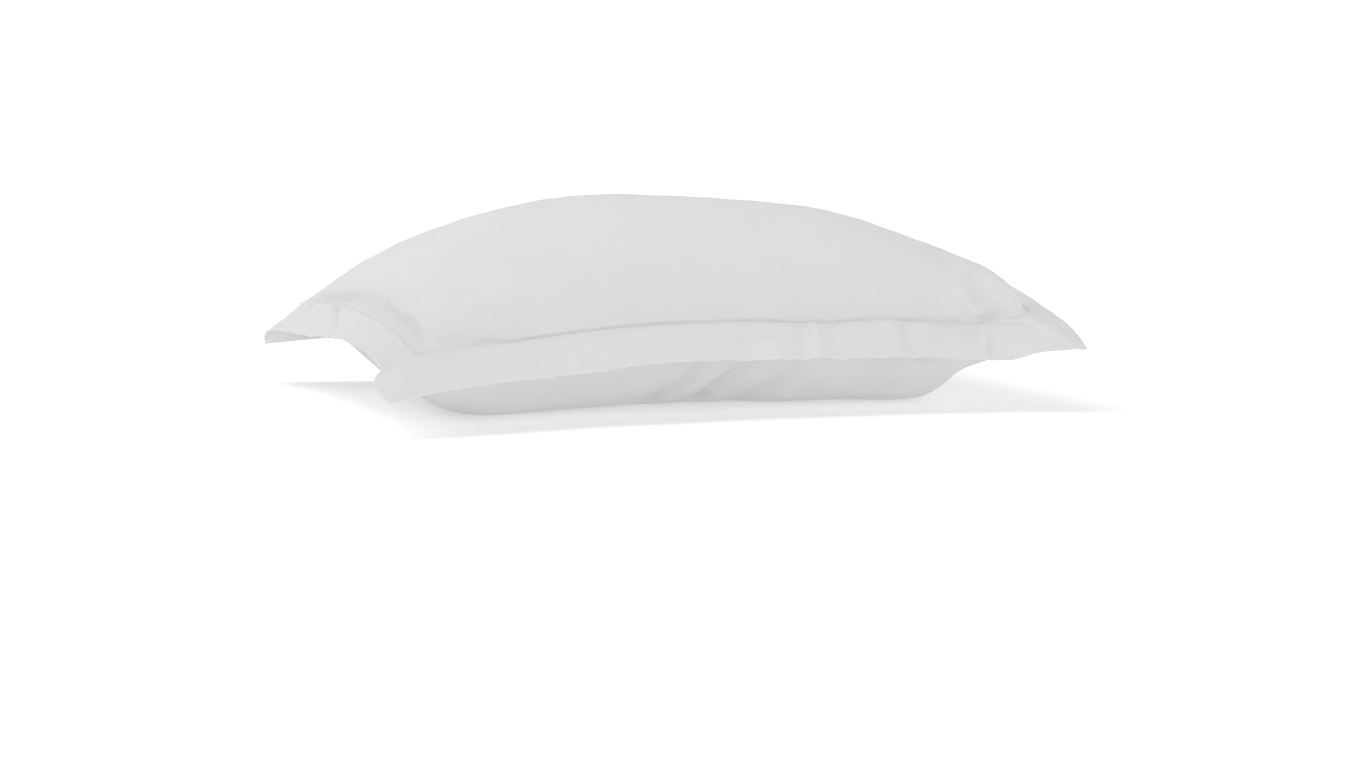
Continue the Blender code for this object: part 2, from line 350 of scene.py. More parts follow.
# Folds that run out of a corner: the angle from the long side in degrees, the half width at
# its widest, its height, and how far in it reaches
Pinch = namedtuple("Pinch", "angle width rise reach")
UPPER_PINCHES = {
    "front_left": (
        Pinch(14, 0.007, -0.0009, 0.07),
        Pinch(27, 0.006, 0.0008, 0.08),
        Pinch(41, 0.007, -0.0010, 0.09),
        Pinch(69, 0.007, -0.0012, 0.09),
        Pinch(80, 0.005, 0.0006, 0.06),
    ),
    "front_right": (
        Pinch(20, 0.007, 0.0008, 0.07),
        Pinch(52, 0.008, 0.0010, 0.10),
        Pinch(70, 0.007, -0.0010, 0.07),
    ),
    "back_right": (
        Pinch(18, 0.007, -0.0010, 0.08),
        Pinch(34, 0.008, 0.0014, 0.10),
        Pinch(49, 0.008, -0.0014, 0.09),
        Pinch(66, 0.008, 0.0012, 0.08),
    ),
    "back_left": (
        Pinch(15, 0.007, 0.0010, 0.08),
        Pinch(32, 0.008, -0.0014, 0.10),
        Pinch(47, 0.008, 0.0018, 0.12),
        Pinch(63, 0.008, -0.0012, 0.08),
    ),
}
PINCH_START = 0.010  # the stitching holds the corner itself flat
PINCH_TIP = 0.25  # its half width there, as a share of the widest
PINCH_FADE = 0.35  # the share of its reach from which it fades

COARSE = 2  # the cloth that is filled out has every second line of the panels' grid
CLOTH_SURPLUS = 0.008  # the cloth is this much longer than the stitching
FILLING_STEPS = 20
FILLING = {  # light cotton, pressed out from inside
    "quality": 4,
    "mass": 0.15,
    "tension_stiffness": 12,
    "compression_stiffness": 12,
    "shear_stiffness": 4,
    "bending_stiffness": 0.08,
    "use_pressure": True,
    "uniform_pressure_force": 4.0,
}
GATHER_CELLS = 6  # waves wider than this many coarse cells are left to the solid's own shape
SEAM_CELLS = 12.0  # nearer the stitching than this, all that runs along it is left out too
GATHER_SHARE = 0.50  # the filling is full and has pressed most of the gathers out
GATHER_CAP = 0.0014
GATHER_START = 0.004  # and the stitching itself keeps its line

GATHER_HEIGHT = 0.0003  # small puckers that the stitching draws up, square to it
GATHER_DEPTH = 0.022
GATHER_PITCH = 0.011
GATHER_STRETCH = 0.25
LUMP_HEIGHT = 0.0020  # the filling is never quite even
LUMP_SIZE = 0.110
LUMP_START = 0.08
DRAPE_HEIGHT = 0.0008  # soft lines that hang down from the crown to the stitching
DRAPE_SIZE = 0.026
DRAPE_STRETCH = 0.22
RUMPLE_HEIGHT = 0.00070  # slight waves of cloth that isn't pressed
RUMPLE_SIZE = 0.024
RELIEF_START = 0.010  # this near the stitching the cloth is held
REST_HEIGHT = 0.012  # and below this it is pressed flat by what it rests on
UPPER_SEED, LOWER_SEED = 1.0, 60.0


def cloth_places(points):
    """Where each grid point lies on the panel laid flat: metres along and deep."""
    steps_along = np.linalg.norm(np.diff(points, axis=0), axis=-1)
    steps_deep = np.linalg.norm(np.diff(points, axis=1), axis=-1)
    along = np.concatenate([np.zeros((1, points.shape[1])), np.cumsum(steps_along, axis=0)])
    deep = np.concatenate([np.zeros((points.shape[0], 1)), np.cumsum(steps_deep, axis=1)], axis=1)
    u = along / along[-1:] * PANEL_LENGTH
    v = deep / deep[:, -1:] * PANEL_DEPTH
    return u, v


def off_sides(u, v):
    """How far places on the cloth lie off the left side, the right, the front and the back."""
    return u, PANEL_LENGTH - u, v, PANEL_DEPTH - v


def evened(profile, cells):
    """Shares of a side whose steps over the filled panel are even, and small by the seams."""
    share = (1 - np.cos(np.pi * np.linspace(0, 1, PROFILE_SAMPLES))) / 2
    steps = np.linalg.norm(np.diff(profile(share), axis=0), axis=-1)
    travelled = np.concatenate([[0.0], np.cumsum(steps)])
    return np.interp(crowded(cells) * travelled[-1], travelled, share)


def filleted(panel, upward):
    """The panel, leaving its stitching at a low angle, from the border's own face."""
    u, v = cloth_places(panel)
    base = stitched_surface(u / PANEL_LENGTH, v / PANEL_DEPTH)
    turned, nearness = 1.0, 0.0
    uneven = 1 + FILLET_UNEVENNESS * rippled(u, v, FILLET_WAVE, FILLET_SEED + upward)
    left, right, front, back = FILLETS
    left *= 1 - (1 - LEFT_FILLET_BACK) * ramp(v / PANEL_DEPTH, *LEFT_FILLET_SPAN)
    by_corner = 1 - ramp(np.minimum(u, PANEL_LENGTH - u), *FRONT_FILLET_SPAN)
    front = front * (1 + (FRONT_FILLET_ENDS - 1) * by_corner) if upward else FRONT_FILLET_UNDER
    for off, reach in zip(off_sides(u, v), (left, right, front, back)):
        turned = turned * ramp(off / (reach * uneven), 0.0, 1.0)
        nearness = nearness + np.maximum(off, 1e-6) ** -NEARNESS_POWER
    nearest = nearness ** (-1 / NEARNESS_POWER)
    clear = (CLOTH_THICKNESS / 2 + SEAM_CLEARANCE) * ramp(nearest, 0.0, SEAM_CLEARANCE_REACH)
    rise = FILLET_SLOPE * nearest + clear
    base[..., 2] += rise if upward else -rise
    return base + (panel - base) * turned[..., None]


def unit(vectors):
    """The vectors at a length of 1."""
    return vectors / np.maximum(np.linalg.norm(vectors, axis=-1, keepdims=True), 1e-12)


def outward_of(points, upward):
    """The cloth's unit normals, upward or downward."""
    normal = unit(np.cross(np.gradient(points, axis=0), np.gradient(points, axis=1)))
    return normal if upward else -normal


def rippled(u, v, size, seed):
    """Smooth uneven waves from -1 to 1 over the cloth, the same each time."""
    u, v = np.broadcast_arrays(u, v)
    flat = [
        noise.noise(Vector((a / size, b / size, seed)))
        for a, b in zip(u.ravel().tolist(), v.ravel().tolist())
    ]
    return np.reshape(flat, u.shape)


def fold_height(x, y, fold, scale=(1.0, 1.0)):
    """How far one fold lifts the cloth at each place."""
    nearest, along, aside, start = np.inf, 0.0, 0.0, 0.0
    path = [(a * scale[0], b * scale[1]) for a, b in fold.path]
    for (x1, y1), (x2, y2) in zip(path, path[1:]):
        line_x, line_y = x2 - x1, y2 - y1
        length = math.hypot(line_x, line_y)
        at = np.clip(((x - x1) * line_x + (y - y1) * line_y) / length, 0, length)
        off_x, off_y = x - x1 - at * line_x / length, y - y1 - at * line_y / length
        distance = np.hypot(off_x, off_y)
        closer = distance < nearest
        side = np.sign(line_x * off_y - line_y * off_x)
        nearest = np.where(closer, distance, nearest)
        aside = np.where(closer, distance * side, aside)
        along = np.where(closer, start + at, along)
        start += length
    fade = ramp(along / start, 0.0, FOLD_FADE) * ramp(1 - along / start, 0.0, FOLD_FADE)
    trough = fold.rise * np.exp(-np.abs(aside / fold.width) ** fold.line)
    roll = fold.roll * hill(aside + ROLL_OFF * fold.width, ROLL_WIDTH * fold.width)
    return (trough + roll) * fade


def pinch_height(p, q, pinch):
    """How far a fold out of a corner lifts the cloth, p and q being off its two sides."""
    angle = math.radians(pinch.angle)
    along = p * math.cos(angle) + q * math.sin(angle)
    aside = q * math.cos(angle) - p * math.sin(angle)
    share = np.clip(along / pinch.reach, 0, 1)
    width = pinch.width * (PINCH_TIP + (1 - PINCH_TIP) * np.clip(2 * share, 0, 1))
    length = ramp(along, 0.0, PINCH_START) * (1 - ramp(share, PINCH_FADE, 1.0))
    return pinch.rise * length * hill(aside, width)


def new_object(name, data):
    """An object in the scene."""
    made = bpy.data.objects.new(name, data)
    bpy.context.scene.collection.objects.link(made)
    return made


def object_of(name, bm):
    """An object in the scene, of the mesh that was built."""
    mesh = bpy.data.meshes.new(name)
    bm.to_mesh(mesh)
    bm.free()
    return new_object(name, mesh)


def laid_grid(bm, points):
    """A grid of cells on the points, and which of them each corner is."""
    cells_along, cells_deep = points.shape[0] - 1, points.shape[1] - 1
    made = bmesh.ops.create_grid(bm, x_segments=cells_along, y_segments=cells_deep, size=0.5)
    places = {}
    for vert in made["verts"]:
        i = round((vert.co.x + 0.5) * cells_along)
        j = round((vert.co.y + 0.5) * cells_deep)
        vert.co = points[i, j]
        places[vert] = i, j
    return places


def filled_out(upper, lower):
    """Where the two panels' cloth goes as the filling presses it out from inside.

    The cloth is a little longer than the stitching that holds it, so it gathers as cotton does.
    """
    upper, lower = upper[::COARSE, ::COARSE], lower[::COARSE, ::COARSE]
    count = upper.shape[0] * upper.shape[1]
    bm = bmesh.new()
    number = bm.verts.layers.int.new("number")
    held = bm.verts.layers.deform.verify()
    for start, points in ((0, upper), (count, lower)):
        places = laid_grid(bm, points)
        for vert, (i, j) in places.items():
            vert[number] = start + i * points.shape[1] + j
    faces_below = list({face for vert in places for face in vert.link_faces})
    bmesh.ops.reverse_faces(bm, faces=faces_below)
    seam = [vert for vert in bm.verts if vert.is_boundary]
    for vert in seam:
        vert[held][0] = 1.0
    bmesh.ops.remove_doubles(bm, verts=seam, dist=WELD)
    numbers = np.array([vert[number] for vert in bm.verts])
    cloth = object_of("filled_cloth", bm)
    cloth.vertex_groups.new(name="stitching")
    scene = bpy.context.scene
    filling = cloth.modifiers.new("filling", "CLOTH")
    settings = filling.settings
    for name, value in FILLING.items():
        setattr(settings, name, value)
    settings.vertex_group_mass = "stitching"
    settings.shrink_min = -CLOTH_SURPLUS
    settings.effector_weights.gravity = 0.0
    filling.collision_settings.use_collision = False
    filling.point_cache.frame_start, filling.point_cache.frame_end = 1, FILLING_STEPS
    for step in range(1, FILLING_STEPS + 1):
        scene.frame_set(step)
    out = cloth.evaluated_get(bpy.context.evaluated_depsgraph_get()).to_mesh()
    ends = np.empty(len(out.vertices) * 3)
    out.vertices.foreach_get("co", ends)
    places = np.concatenate([upper.reshape(-1, 3), lower.reshape(-1, 3)])
    places[numbers] = ends.reshape(-1, 3)
    mesh = cloth.data
    bpy.data.objects.remove(cloth)
    bpy.data.meshes.remove(mesh)
    scene.frame_set(1)
    return places[:count].reshape(upper.shape), places[count:].reshape(lower.shape)


def evenly_blurred(field, cells, axes=(0, 1)):
    """The field averaged twice over this many cells to each side, along the axes."""
    for axis in axes * 2:
        rows = np.moveaxis(field, axis, 0)
        sides = [(cells, cells)] + [(0, 0)] * (rows.ndim - 1)
        total = np.cumsum(np.pad(rows, sides, "reflect"), axis=0)
        total = np.concatenate([np.zeros_like(total[:1]), total])
        rows = (total[2 * cells + 1 :] - total[: -2 * cells - 1]) / (2 * cells + 1)
        field = np.moveaxis(rows, 0, axis)
    return field


def off_stitching(points):
    """How far in from the stitching each grid point lies, along the cloth."""
    return np.min(off_sides(*cloth_places(points)), axis=0)


def gathered(points, pressed, upward):
    """The gathers and wrinkles of the filled out cloth, without its overall swelling."""
    coarse = points[::COARSE, ::COARSE]
    off = ((pressed - coarse) * outward_of(coarse, upward)).sum(axis=-1)
    i, j = (np.minimum(np.arange(cells), np.arange(cells)[::-1]) for cells in off.shape)
    by_side, by_front = hill(i, SEAM_CELLS)[:, None], hill(j, SEAM_CELLS)[None]
    middle = np.maximum(0.0, 1 - by_side - by_front)
    swelling = (
        by_front * evenly_blurred(off, GATHER_CELLS, (0,))
        + by_side * evenly_blurred(off, GATHER_CELLS, (1,))
        + middle * evenly_blurred(off, GATHER_CELLS)
    )
    off = off - swelling / (by_front + by_side + middle)
    along = np.arange(points.shape[0]) / COARSE
    deep = np.arange(points.shape[1]) / COARSE
    off = np.array([np.interp(along, np.arange(off.shape[0]), row) for row in off.T]).T
    off = np.array([np.interp(deep, np.arange(off.shape[1]), row) for row in off])
    capped = GATHER_CAP * np.tanh(GATHER_SHARE * evenly_blurred(off, 1) / GATHER_CAP)
    return capped * ramp(off_stitching(points), 0.0, GATHER_START)


def panel_relief(points, folds, pinches, seed, rested):
    """How far the cloth stands off its overall form at each point of a panel."""
    u, u_back, v, v_back = off_sides(*cloth_places(points))
    relief = np.zeros_like(u)
    for fold in folds:
        relief += fold_height(points[..., 0], points[..., 1], fold)
    corners = {
        "front_left": (u, v),
        "front_right": (u_back, v),
        "back_right": (u_back, v_back),
        "back_left": (u, v_back),
    }
    for corner, places in corners.items():
        for pinch in pinches.get(corner, ()):
            relief += pinch_height(*places, pinch)
    for k, (along, off) in enumerate(((u, v), (v, u_back), (u, v_back), (v, u))):
        gather = rippled(along, off * GATHER_STRETCH, GATHER_PITCH, seed + 3 * k)
        relief += GATHER_HEIGHT * gather * np.exp(-off / GATHER_DEPTH)
    inward = off_stitching(points)
    held = ramp(inward, 0.0, RELIEF_START)
    relief += LUMP_HEIGHT * rippled(u, v, LUMP_SIZE, seed + 20) * ramp(inward, 0.0, LUMP_START)
    relief += DRAPE_HEIGHT * rippled(u, v * DRAPE_STRETCH, DRAPE_SIZE, seed + 40) * held
    relief += RUMPLE_HEIGHT * rippled(u, v, RUMPLE_SIZE, seed + 30) * held
    return relief * held * rested


def add_panel(bm, uv, points, upward):
    """A panel of cloth, its corner cells split towards the corners of the stitching."""
    u, v = cloth_places(points)
    places = laid_grid(bm, points)
    faces = list({face for vert in places for face in vert.link_faces})
    for face in faces:
        for loop in face.loops:
            i, j = places[loop.vert]
            loop[uv].uv = (u[i, j], v[i, j] if upward else -v[i, j])
    if not upward:
        bmesh.ops.reverse_faces(bm, faces=faces)
    at = {place: vert for vert, place in places.items()}
    last_i, last_j = points.shape[0] - 1, points.shape[1] - 1
    for i, i_in in ((0, 1), (last_i, last_i - 1)):
        for j, j_in in ((0, 1), (last_j, last_j - 1)):
            bmesh.ops.connect_verts(bm, verts=[at[i, j], at[i_in, j_in]])


def finish_piece(name, bm, material):
    """Makes the mesh a piece of the object, with its cotton."""
    piece = object_of(name, bm)
    piece.data.shade_smooth()
    piece.data.materials.append(material)
    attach(piece, "root")
    return piece


def make_pocket_cloth(material):
    """The two panels, filled, with their folds, joined at the stitching."""
    middle = np.array([0.5])
    s = evened(lambda share: upper_panel(share, middle)[:, 0], CELLS_ALONG)
    t = evened(lambda share: upper_panel(middle, share)[0], CELLS_DEEP)
    bm = bmesh.new()
    uv = bm.loops.layers.uv.new("cloth")
    upper = filleted(upper_panel(s, t), True)
    lower = filleted(lower_panel(s, t), False)
    pressed_up, pressed_down = filled_out(upper, lower)
    relief = panel_relief(upper, UPPER_FOLDS, UPPER_PINCHES, UPPER_SEED, 1.0)
    relief += gathered(upper, pressed_up, True)
    add_panel(bm, uv, upper + relief[..., None] * outward_of(upper, True), True)
    rested = ramp(lower[..., 2], 0.0, REST_HEIGHT)
    relief = panel_relief(lower, LOWER_FOLDS, {}, LOWER_SEED, rested)
    relief += rested * gathered(lower, pressed_down, False)
    add_panel(bm, uv, lower + relief[..., None] * outward_of(lower, False), False)
    rim = [vert for vert in bm.verts if vert.is_boundary]
    bmesh.ops.remove_doubles(bm, verts=rim, dist=WELD)
    return finish_piece("pocket_cloth", bm, material)


# ---- the border

HEM_EXTRA = 0.0003  # more where the cut edges are turned in
HEM_WIDTH = 0.012
HEM_STEP = 0.0015
EDGE_ROUND = 0.0007
EDGE_LEFT = 0.15  # the share of the thickness that is left at the very edge
LOWER_FACE_AT = 2.1  # the lower face's weave runs on from the upper's, in border widths
CLOTH_BEND = 1.25  # the border turns down beside its stitching, then hangs nearly straight
UNDER_POCKET = 0.0015  # the border's inner edge is the panels' own cloth, so it starts inside
SEAM_BEAD = 0.0013  # the topstitching draws the cloth into a low bead beside it
SEAM_BEAD_AT = 0.0024
SEAM_BEAD_WIDTH = 0.0015
BORDER_CELLS_LONG = 400
BORDER_CELLS_SHORT = 290
BORDER_CROWDING = 0.4
BORDER_ROWS = (  # metres from the stitching, and the cells up to there
    (0.0, 1),
    (0.0075, 6),
    (0.0362, 9),
    (0.0386, 2),
    (0.0493, 4),
    (0.0500, 3),
)



def wave(start, end, *form):
    """A fold straight across the border, from inside its seam to past its hem."""
    return Fold(((start, -0.2), (end, 1.3)), *form)


# Waves, pleats and puckers of the border, by the share of the side and of the border's width
BORDER_FOLDS = {
    "front": (
        wave(0.505, 0.489, 0.006, 0.0010),
        wave(0.538, 0.520, 0.009, -0.0010),
        wave(0.632, 0.596, 0.007, -0.0014),
        wave(0.656, 0.616, 0.006, 0.0026),
        wave(0.686, 0.642, 0.008, -0.0014),
        wave(0.755, 0.700, 0.010, -0.0008),
        wave(0.785, 0.724, 0.008, 0.0016),
        wave(0.806, 0.744, 0.0045, -0.0013),
        wave(0.838, 0.770, 0.008, 0.0010),
        Fold(((0.860, 0.30), (0.906, 0.24)), 0.0022, -0.0007, 0.0007),
        Fold(((0.846, 0.62), (0.890, 0.56)), 0.0022, -0.0006, 0.0006),
        Fold(((0.470, 0.52), (0.540, 0.48), (0.612, 0.50)), 0.0030, -0.0008, 0.0005),
        Fold(((0.933, 0.16), (0.960, 0.16), (0.974, 0.55)), 0.0028, -0.0012),
        Fold(((0.905, 0.48), (0.950, 0.62)), 0.0028, -0.0009),
        Fold(((0.360, 0.30), (0.410, 0.36)), 0.0035, -0.0006, 0.0004),
        wave(0.180, 0.196, 0.010, 0.0007),
        wave(0.300, 0.310, 0.012, -0.0007),
        Fold(((0.075, 0.45), (0.078, 1.4)), 0.010, 0.0014),
        Fold(((0.990, -0.4), (0.986, 0.5), (0.980, 1.2)), 0.006, 0.0022),
    ),
    "right": (
        Fold(((0.080, -0.3), (0.066, 0.55), (0.020, 1.0)), 0.008, -0.0042),
        wave(0.30, 0.28, 0.016, 0.0016),
        wave(0.47, 0.48, 0.009, -0.0014, 0.0008),
        wave(0.66, 0.69, 0.014, 0.0014),
        wave(0.82, 0.87, 0.010, -0.0014),
    ),
    "back": (
        wave(0.16, 0.12, 0.014, 0.0014),
        wave(0.31, 0.29, 0.012, -0.0016, 0.0010),
        wave(0.46, 0.46, 0.016, 0.0018),
        wave(0.58, 0.59, 0.007, -0.0014, 0.0008, 1.8),
        wave(0.74, 0.77, 0.014, 0.0014),
        wave(0.88, 0.93, 0.010, -0.0012),
    ),
    "left": (
        Fold(((0.045, -0.3), (0.100, 0.20), (0.175, 0.75)), 0.0040, -0.0030, 0.0014, 1.8),
        Fold(
            ((0.150, -0.4), (0.206, 0.0), (0.400, 0.80), (0.445, 1.1)),
            0.0042, -0.0038, 0.0018, 1.7,
        ),
        Fold(((0.165, 0.20), (0.360, 1.5)), 0.0030, -0.0018, 0.0, 1.8),
        Fold(((0.130, 0.25), (0.280, 1.5)), 0.0028, -0.0016, 0.0, 1.8),
        Fold(((0.120, 0.50), (0.200, 1.5)), 0.0028, -0.0014, 0.0, 1.8),
        Fold(((0.250, 0.40), (0.400, 1.3)), 0.0030, 0.0010),
        wave(0.560, 0.560, 0.012, 0.0008),
    ),
}
WAVINESS = {"front": 1.6, "right": 1.0, "back": 1.0, "left": 1.3}
# The front border doubles over itself a little where a pleat ends its straight run
STEP_PATH = (0.9275, 0.8615)
STEP_RISE = 0.0005
STEP_LENGTH = 0.0040
STEP_REACH = 0.050
STEP_CREST = 0.0010  # its end stands up in a ridge, this high and with a flank this wide
STEP_FLANK = 0.0110

PUCKERS_PER_METRE = 130  # small ones, drawn up by the hem's turned-in edge
PUCKERED = {"front": 1.0, "right": 0.6, "back": 0.6, "left": 0.35}
PUCKER_SEED = 11
PUCKER_SPAN = 0.03, 0.97  # the shares of a side that have them
PUCKER_STARTS = 0.1, 0.8  # and the shares of the width at which they begin
PUCKER_LEAN = 0.8
PUCKER_WIDTHS = (0.0025, 0.0056)
PUCKER_HEIGHT = 0.00080
BORDER_WAVE = 0.0012
BORDER_WAVE_SIZE = 0.060
BORDER_WAVE_STRETCH = 0.5
HELD_AT_SEAM = 0.006  # the border has no relief at its seam and at its corners
HELD_AT_CORNER = 0.008
MITRE_REACHES = 0.018, 0.008, 0.012, 0.012  # the border bends softly over each corner
MITRE_TURNS = 160
MITRE_WEIGHT = 0.5
MITRE_FREE = 0.2, 0.75  # most of all between these shares of its width


def border_strip(side, share, across):
    """Points through the middle of one side of the border, before its relief."""
    reach = side.border_reach(share)[:, None]
    out = across[None, :, None]
    points = side.stitching(share)[:, None] + reach * out
    points[..., 2:] -= reach[..., 2:] * (out - np.sign(out) * np.abs(out) ** CLOTH_BEND)
    return points


def border_relief(name, side, share, across, puckers):
    """How far the border's cloth stands off its overall form."""
    along = share[:, None] * side.length + 0 * across
    off = across[None] * BORDER_WIDTH + 0 * along
    relief = np.zeros_like(off)
    scale = (side.length, BORDER_WIDTH)
    for fold in BORDER_FOLDS[name]:
        relief += WAVINESS[name] * fold_height(along, off, fold, scale)
    for at, width, rise, start in puckers:
        foot = at * side.length - (2 * at - 1) * off * PUCKER_LEAN
        rise *= PUCKERED[name]
        relief += rise * hill(along - foot, width) * ramp(across, start, 1.0)[None]
    if name == "front":
        line = STEP_PATH[0] + (STEP_PATH[1] - STEP_PATH[0]) * across[None]
        past = along - line * side.length - STEP_LENGTH / 2
        before = 1 - ramp(past, -STEP_LENGTH / 2, STEP_LENGTH / 2)
        relief += STEP_RISE * before * ramp(past, -STEP_REACH, -STEP_LENGTH)
        relief += STEP_CREST * before * ramp(past, -STEP_FLANK - STEP_LENGTH, -STEP_LENGTH / 2)
    relief += BORDER_WAVE * rippled(
        along, off * BORDER_WAVE_STRETCH, BORDER_WAVE_SIZE, len(name)
    )
    corner = np.minimum(along, side.length - along)
    bead = hill(off - SEAM_BEAD_AT, SEAM_BEAD_WIDTH)
    free = ramp(off, 0.0, HELD_AT_SEAM), ramp(corner, 0.0, HELD_AT_CORNER)
    return relief * free[0] * free[1] + SEAM_BEAD * bead


def half_thickness(across):
    """Half the border's thickness at each share of its width."""
    off = across * BORDER_WIDTH
    hem = HEM_EXTRA * ramp(off, BORDER_WIDTH - HEM_WIDTH - HEM_STEP, BORDER_WIDTH - HEM_WIDTH)
    to_edge = np.clip((BORDER_WIDTH - off) / EDGE_ROUND, 0, 1)
    round_edge = EDGE_LEFT + (1 - EDGE_LEFT) * np.sqrt(1 - (1 - to_edge) ** 2)
    return (CLOTH_THICKNESS + hem) / 2 * round_edge


def border_grid():
    """(middle, across): the border's middle surface, station by station round the pocket."""
    rows = [-UNDER_POCKET]
    for end, cells in BORDER_ROWS:
        rows.extend(np.linspace(rows[-1], end, cells + 1)[1:])
    across = np.array(rows) / BORDER_WIDTH
    draw = np.random.default_rng(PUCKER_SEED)
    strips = []
    for name, side in SIDES.items():
        cells = BORDER_CELLS_LONG if name in ("front", "back") else BORDER_CELLS_SHORT
        share = crowded(cells, BORDER_CROWDING)
        count = round(PUCKERS_PER_METRE * side.length)
        puckers = zip(
            draw.uniform(*PUCKER_SPAN, count),
            draw.uniform(*PUCKER_WIDTHS, count),
            draw.normal(0.0, PUCKER_HEIGHT, count),
            draw.uniform(*PUCKER_STARTS, count),
        )
        strip = border_strip(side, share, across)
        normal = -outward_of(strip, True)
        relief = border_relief(name, side, share, across, puckers)
        strips.append((strip + relief[..., None] * normal)[:-1])
    middle = np.concatenate(strips)
    return soften_mitres(middle, across), across


def soften_mitres(middle, across):
    """Rounds the bend of the border over each corner, and keeps its edges where they are."""
    free = ramp(across, 0.0, MITRE_FREE[0]) * (1 - ramp(across, MITRE_FREE[1], 1.0))
    softness = 0.0
    corners = FRONT_LEFT, FRONT_RIGHT, BACK_RIGHT, BACK_LEFT
    for corner, reach in zip(corners, MITRE_REACHES):
        away = np.hypot(middle[:, 0, 0] - corner.x, middle[:, 0, 1] - corner.y)
        softness = np.maximum(softness, hill(away, reach))
    weight = MITRE_WEIGHT * softness[:, None, None] * free[None, :, None]
    for _ in range(MITRE_TURNS):
        beside = (np.roll(middle, 1, axis=0) + np.roll(middle, -1, axis=0)) / 2
        middle = middle + weight * (beside - middle)
    return middle


def cloth_normals(middle):
    """Unit normals of a strip that closes on itself, pointing up."""
    along = np.roll(middle, -1, axis=0) - np.roll(middle, 1, axis=0)
    return unit(np.cross(np.gradient(middle, axis=1), along))


def make_border_cloth(material, middle, across):
    """The border as one ring: its upper face, its round edge and its lower face."""
    thick = half_thickness(across)[None, :, None] * cloth_normals(middle)
    rows = np.concatenate([middle + thick, (middle - thick)[:, ::-1]], axis=1)
    steps = np.linalg.norm(np.roll(middle[:, 0], -1, axis=0) - middle[:, 0], axis=-1)
    run = np.concatenate([[0.0], np.cumsum(steps)])
    under = LOWER_FACE_AT - across[::-1]
    width = np.concatenate([across, under, [LOWER_FACE_AT - across[0]]]) * BORDER_WIDTH
    bm = bmesh.new()
    uv = bm.loops.layers.uv.new("cloth")
    places = laid_grid(bm, np.pad(rows, ((0, 1), (0, 1), (0, 0)), "wrap"))
    for face in bm.faces:
        for loop in face.loops:
            i, j = places[loop.vert]
            loop[uv].uv = (run[i], width[j])
    bmesh.ops.remove_doubles(bm, verts=[v for v in bm.verts if v.is_boundary], dist=WELD)
    bmesh.ops.recalc_face_normals(bm, faces=bm.faces)
    return finish_piece("border_cloth", bm, material)


# ---- the stitching

STITCH_OFF_SEAM = 0.0016  # the topstitching runs this far out on the border
STITCH_PITCH = 0.0030
STITCH_LENGTH = 0.0026
THREAD_RADIUS = 0.00024
THREAD_PROUD = 0.3  # its middle stands this share of its radius over the cloth
TURN_ALONG = Vector((0, 0, 1)).rotation_difference(Vector((1, 0, 0))).to_matrix()


def stitch_line(name, points, material):
    """One closed row of topstitching along the points."""
    steps = np.linalg.norm(np.roll(points, -1, axis=0) - points, axis=-1)
    count = round(steps.sum() / STITCH_PITCH)
    curve = bpy.data.curves.new(name + "_path", "CURVE")
    curve.dimensions = "3D"
    curve.twist_mode = "Z_UP"
    spline = curve.splines.new("POLY")
    spline.points.add(len(points) - 1)
    spline.points.foreach_set("co", np.column_stack([points, np.ones(len(points))]).ravel())
    spline.use_cyclic_u = True
    path = new_object(name + "_path", curve)

    bm = bmesh.new()
    bmesh.ops.create_uvsphere(bm, u_segments=4, v_segments=6, radius=1.0)
    bmesh.ops.rotate(bm, verts=bm.verts, matrix=TURN_ALONG)
    bmesh.ops.scale(bm, verts=bm.verts, vec=(STITCH_LENGTH / 2, THREAD_RADIUS, THREAD_RADIUS))
    row = object_of(name, bm)
    array = row.modifiers.new("each_stitch", "ARRAY")
    array.count = count
    array.use_relative_offset = False
    array.use_constant_offset = True
    array.constant_offset_displace = (steps.sum() / count, 0, 0)
    bend = row.modifiers.new("along_seam", "CURVE")
    bend.object = path
    bend.deform_axis = "POS_X"
    bpy.context.view_layer.update()
    made = bpy.data.meshes.new_from_object(
        row.evaluated_get(bpy.context.evaluated_depsgraph_get())
    )
    row.modifiers.clear()
    row.data = made
    made.name = name
    made.shade_smooth()
    made.materials.clear()
    made.materials.append(material)
    bpy.data.objects.remove(path)
    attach(row, "root")


def make_topstitching(material, middle, across):
    """The stitches that join the panels and hold the border flat, a row on each face."""
    normal = cloth_normals(middle)
    want = STITCH_OFF_SEAM / BORDER_WIDTH
    k = int(np.searchsorted(across, want))
    part = (want - across[k - 1]) / (across[k] - across[k - 1])
    line = middle[:, k - 1] * (1 - part) + middle[:, k] * part
    lift = (CLOTH_THICKNESS / 2 + THREAD_RADIUS * THREAD_PROUD) * normal[:, k]
    stitch_line("topstitching_upper", line + lift, material)
    stitch_line("topstitching_lower", line - lift, material)


# ---- the cotton

THREAD_PITCH = 0.00046  # plain weave, about 22 threads to the centimetre each way
# The border's white is a little lighter than the panels': painted light, for the brighter light
# that falls on the border beside its seam
COTTON_WHITE, BORDER_WHITE_PAINTED_LIGHTER = 0.746, 0.758
COTTON_TONES = 0.985, 1.012  # the cloth's darkest and lightest patches
COTTON_ROUGHNESS = 0.85
COTTON_SHEEN = 0.12
THREAD_WHITES = 0.76, 0.84
# How far the cloth's creases are stretched along and across, and how strong they are
PANEL_CREASES = 1.0, 1.0, 0.6
BORDER_CREASES = 1.0, 0.22, 1.0


